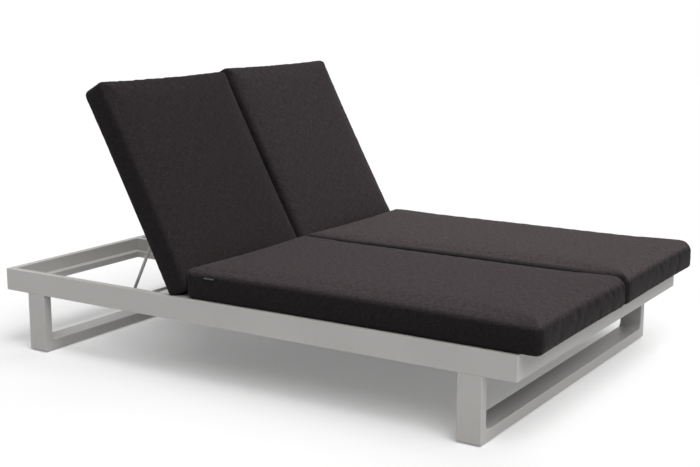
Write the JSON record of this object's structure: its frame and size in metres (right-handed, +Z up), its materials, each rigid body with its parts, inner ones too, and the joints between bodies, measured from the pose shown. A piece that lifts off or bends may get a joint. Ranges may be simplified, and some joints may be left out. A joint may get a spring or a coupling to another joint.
{
  "type": "double chaise lounger",
  "caption": "Double sun lounger with sled legs, separately reclining backs on prop stays, and boxed seat and back cushions.",
  "frame": {"origin": "on the floor under the middle of the lounger's length and width", "axes": "+X towards the foot end, +Y towards the far side, +Z up"},
  "size_m": [2.127, 1.38, 1.0129],
  "materials": {
    "frame": "matte",
    "rack": "matte",
    "bracket": "matte",
    "stay": "satin",
    "fastener": "satin",
    "glide": "matte",
    "buffer": "matte",
    "bush": "matte",
    "cushion_fabric": "matte",
    "foam": "matte",
    "zip": "matte",
    "tab": "matte"
  },
  "bodies": {
    "frame": {"centre_rail": "frame", "far_inner_rack": "rack", "far_outer_rack": "rack", "far_seat_bearers": "frame", "far_seat_cushion_cover": "cushion_fabric", "far_seat_cushion_foam": "foam", "far_seat_slats": "frame", "far_side_rail": "frame", "floor_glides": "glide", "foot_leg_far_post": "frame", "foot_leg_floor_bar": "frame", "foot_leg_near_post": "frame", "foot_rail": "frame", "head_leg_far_post": "frame", "head_leg_floor_bar": "frame", "head_leg_near_post": "frame", "head_rail": "frame", "hinge_bolts": "fastener", "hinge_bracket_screws": "fastener", "hinge_brackets": "rack", "leg_bolts": "fastener", "leg_mounting_plates": "frame", "near_inner_rack": "rack", "near_outer_rack": "rack", "near_seat_bearers": "frame", "near_seat_cushion_cover": "cushion_fabric", "near_seat_cushion_foam": "foam", "near_seat_cushion_tab": "tab", "near_seat_slats": "frame", "near_side_rail": "frame", "rack_screws": "fastener", "rest_buffers": "buffer", "seat_cushion_zips": "zip", "seat_slat_screws": "fastener"},
    "near_back": {"near_back_cushion_cover": "cushion_fabric", "near_back_cushion_foam": "foam", "near_back_cushion_zip": "zip", "near_back_foot_tube": "frame", "near_back_head_tube": "frame", "near_back_hinge_bushes": "bush", "near_back_inner_tube": "frame", "near_back_outer_tube": "frame", "near_back_slats": "frame", "near_back_stay_pins": "fastener"},
    "far_back": {"far_back_cushion_cover": "cushion_fabric", "far_back_cushion_foam": "foam", "far_back_cushion_zip": "zip", "far_back_foot_tube": "frame", "far_back_head_tube": "frame", "far_back_hinge_bushes": "bush", "far_back_inner_tube": "frame", "far_back_outer_tube": "frame", "far_back_slats": "frame", "far_back_stay_pins": "fastener"},
    "near_stay": {"near_stay_inner_arm": "stay", "near_stay_outer_arm": "stay", "near_stay_rack_bar": "stay"},
    "far_stay": {"far_stay_inner_arm": "stay", "far_stay_outer_arm": "stay", "far_stay_rack_bar": "stay"}
  },
  "joints": [
    {"name": "near_back_recline", "type": "hinge", "parent": "frame", "child": "near_back", "pos_m": [-0.2985, -0.33875, 0.2825], "axis": [0, 1, 0], "range_deg": [-61.5, 0]},
    {"name": "near_stay_swing", "type": "hinge", "parent": "near_back", "child": "near_stay", "pos_m": [-0.40347, -0.33875, 0.47584], "axis": [0, 1, 0], "range_deg": [0, 118.93]},
    {"name": "far_back_recline", "type": "hinge", "parent": "frame", "child": "far_back", "pos_m": [-0.2985, 0.33875, 0.2825], "axis": [0, 1, 0], "range_deg": [-61.5, 0]},
    {"name": "far_stay_swing", "type": "hinge", "parent": "far_back", "child": "far_stay", "pos_m": [-0.40347, 0.33875, 0.47584], "axis": [0, 1, 0], "range_deg": [0, 118.93]}
  ],
  "couplings": [
    {"joint": "near_stay_swing", "follows": "near_back_recline", "ratio": -1.9337},
    {"joint": "far_stay_swing", "follows": "far_back_recline", "ratio": -1.9337}
  ]
}
